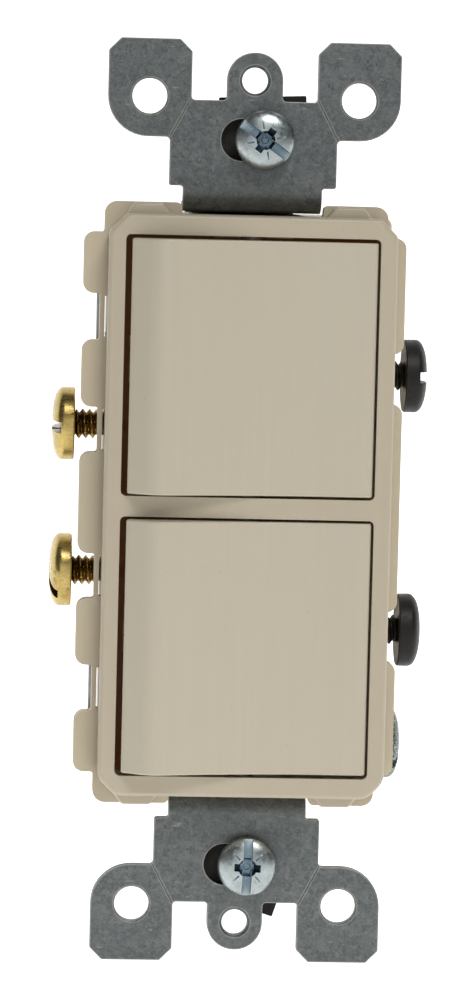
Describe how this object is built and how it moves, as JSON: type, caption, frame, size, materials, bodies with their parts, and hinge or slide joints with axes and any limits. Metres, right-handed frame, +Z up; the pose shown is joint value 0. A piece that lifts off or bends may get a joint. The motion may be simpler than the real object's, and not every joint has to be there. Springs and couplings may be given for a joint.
{
  "type": "rocker wall switch",
  "caption": "Single-gang wall switch on a steel strap: cream bezel with stacked rockers that tilt left and right, side terminal screws and captive mounting screws.",
  "frame": {"origin": "middle of the strap's back plane, which rests on the wall box", "axes": "+X to the right seen from the front, +Y back into the wall, +Z up along the strap"},
  "size_m": [0.0434, 0.035, 0.1058],
  "materials": {
    "cream_plastic": "satin moulded",
    "housing_plastic": "moulded",
    "galvanised_steel": "galvanised, spangled",
    "zinc_plate": "bright zinc plate",
    "brass": "stamped",
    "brass_screw": "bright",
    "black_oxide": "black oxide",
    "green_plate": "green dyed zinc plate",
    "contact_silver": "satin",
    "black_fibre": "matte",
    "white_nylon": "moulded",
    "spring_steel": "satin"
  },
  "bodies": {
    "base": {"front_cover": "cream_plastic", "rear_housing": "housing_plastic", "mounting_strap": "galvanised_steel", "common_terminal_bar": "brass", "fixed_contact_upper": "contact_silver", "brass_terminal_upper": "brass", "wire_clip_upper": "spring_steel", "fixed_contact_lower": "contact_silver", "brass_terminal_lower": "brass", "wire_clip_lower": "spring_steel"},
    "rocker_upper": {"rocker_upper": "cream_plastic", "rocker_spring_upper": "spring_steel"},
    "plunger_upper": {"plunger_upper": "white_nylon"},
    "contact_arm_upper": {"contact_arm_upper": "brass", "moving_contact_upper": "contact_silver"},
    "terminal_screw_brass_upper": {"terminal_screw_brass_upper": "brass_screw"},
    "terminal_screw_black_upper": {"terminal_screw_black_upper": "black_oxide"},
    "rocker_lower": {"rocker_lower": "cream_plastic", "rocker_spring_lower": "spring_steel"},
    "plunger_lower": {"plunger_lower": "white_nylon"},
    "contact_arm_lower": {"contact_arm_lower": "brass", "moving_contact_lower": "contact_silver"},
    "terminal_screw_brass_lower": {"terminal_screw_brass_lower": "brass_screw"},
    "terminal_screw_black_lower": {"terminal_screw_black_lower": "black_oxide"},
    "ground_screw": {"ground_screw": "green_plate"},
    "screw_retainer_top": {"screw_retainer_top": "black_fibre"},
    "mounting_screw_top": {"mounting_screw_top": "zinc_plate"},
    "screw_retainer_bottom": {"screw_retainer_bottom": "black_fibre"},
    "mounting_screw_bottom": {"mounting_screw_bottom": "zinc_plate"}
  },
  "joints": [
    {"name": "rocker_upper_tilt", "type": "hinge", "parent": "base", "child": "rocker_upper", "pos_m": [0, -0.0038, 0.01591], "axis": [0, 0, -1], "range_deg": [0, 15]},
    {"name": "plunger_upper_slide", "type": "slide", "parent": "rocker_upper", "child": "plunger_upper", "axis": [0.1305, -0.9914, 0], "range_m": [0, 0.0004], "stiffness_N_per_m": 600, "deforming": ["rocker_spring_upper"]},
    {"name": "contact_arm_upper_rock", "type": "hinge", "parent": "base", "child": "contact_arm_upper", "pos_m": [0, 0.00863, 0.01591], "axis": [0, 0, 1], "range_deg": [0, 8]},
    {"name": "terminal_screw_brass_upper_travel", "type": "slide", "parent": "base", "child": "terminal_screw_brass_upper", "axis": [1, 0, 0], "range_m": [0, 0.0033]},
    {"name": "terminal_screw_black_upper_travel", "type": "slide", "parent": "base", "child": "terminal_screw_black_upper", "axis": [-1, 0, 0], "range_m": [0, 0.0023]},
    {"name": "rocker_lower_tilt", "type": "hinge", "parent": "base", "child": "rocker_lower", "pos_m": [0, -0.0038, -0.01591], "axis": [0, 0, -1], "range_deg": [0, 15]},
    {"name": "plunger_lower_slide", "type": "slide", "parent": "rocker_lower", "child": "plunger_lower", "axis": [0.1305, -0.9914, 0], "range_m": [0, 0.0004], "stiffness_N_per_m": 600, "deforming": ["rocker_spring_lower"]},
    {"name": "contact_arm_lower_rock", "type": "hinge", "parent": "base", "child": "contact_arm_lower", "pos_m": [0, 0.00863, -0.01591], "axis": [0, 0, 1], "range_deg": [0, 8]},
    {"name": "terminal_screw_brass_lower_travel", "type": "slide", "parent": "base", "child": "terminal_screw_brass_lower", "axis": [1, 0, 0], "range_m": [0, 0.0033]},
    {"name": "terminal_screw_black_lower_travel", "type": "slide", "parent": "base", "child": "terminal_screw_black_lower", "axis": [-1, 0, 0], "range_m": [0, 0.0023]},
    {"name": "ground_screw_travel", "type": "slide", "parent": "base", "child": "ground_screw", "axis": [1, 0, 0], "range_m": [0, 0.0025]},
    {"name": "screw_retainer_top_shift", "type": "slide", "parent": "base", "child": "screw_retainer_top", "axis": [1, 0, 0], "range_m": [-0.0031, 0.0006]},
    {"name": "mounting_screw_top_spin", "type": "hinge", "parent": "screw_retainer_top", "child": "mounting_screw_top", "pos_m": [0.0012, 0, 0.04165], "axis": [0, 1, 0], "continuous": true},
    {"name": "screw_retainer_bottom_shift", "type": "slide", "parent": "base", "child": "screw_retainer_bottom", "axis": [1, 0, 0], "range_m": [-0.0031, 0.0006]},
    {"name": "mounting_screw_bottom_spin", "type": "hinge", "parent": "screw_retainer_bottom", "child": "mounting_screw_bottom", "pos_m": [0.0012, 0, -0.04165], "axis": [0, 1, 0], "continuous": true}
  ],
  "couplings": [
    {"joint": "contact_arm_upper_rock", "follows": "rocker_upper_tilt", "ratio": 0.53333},
    {"joint": "contact_arm_lower_rock", "follows": "rocker_lower_tilt", "ratio": 0.53333}
  ]
}
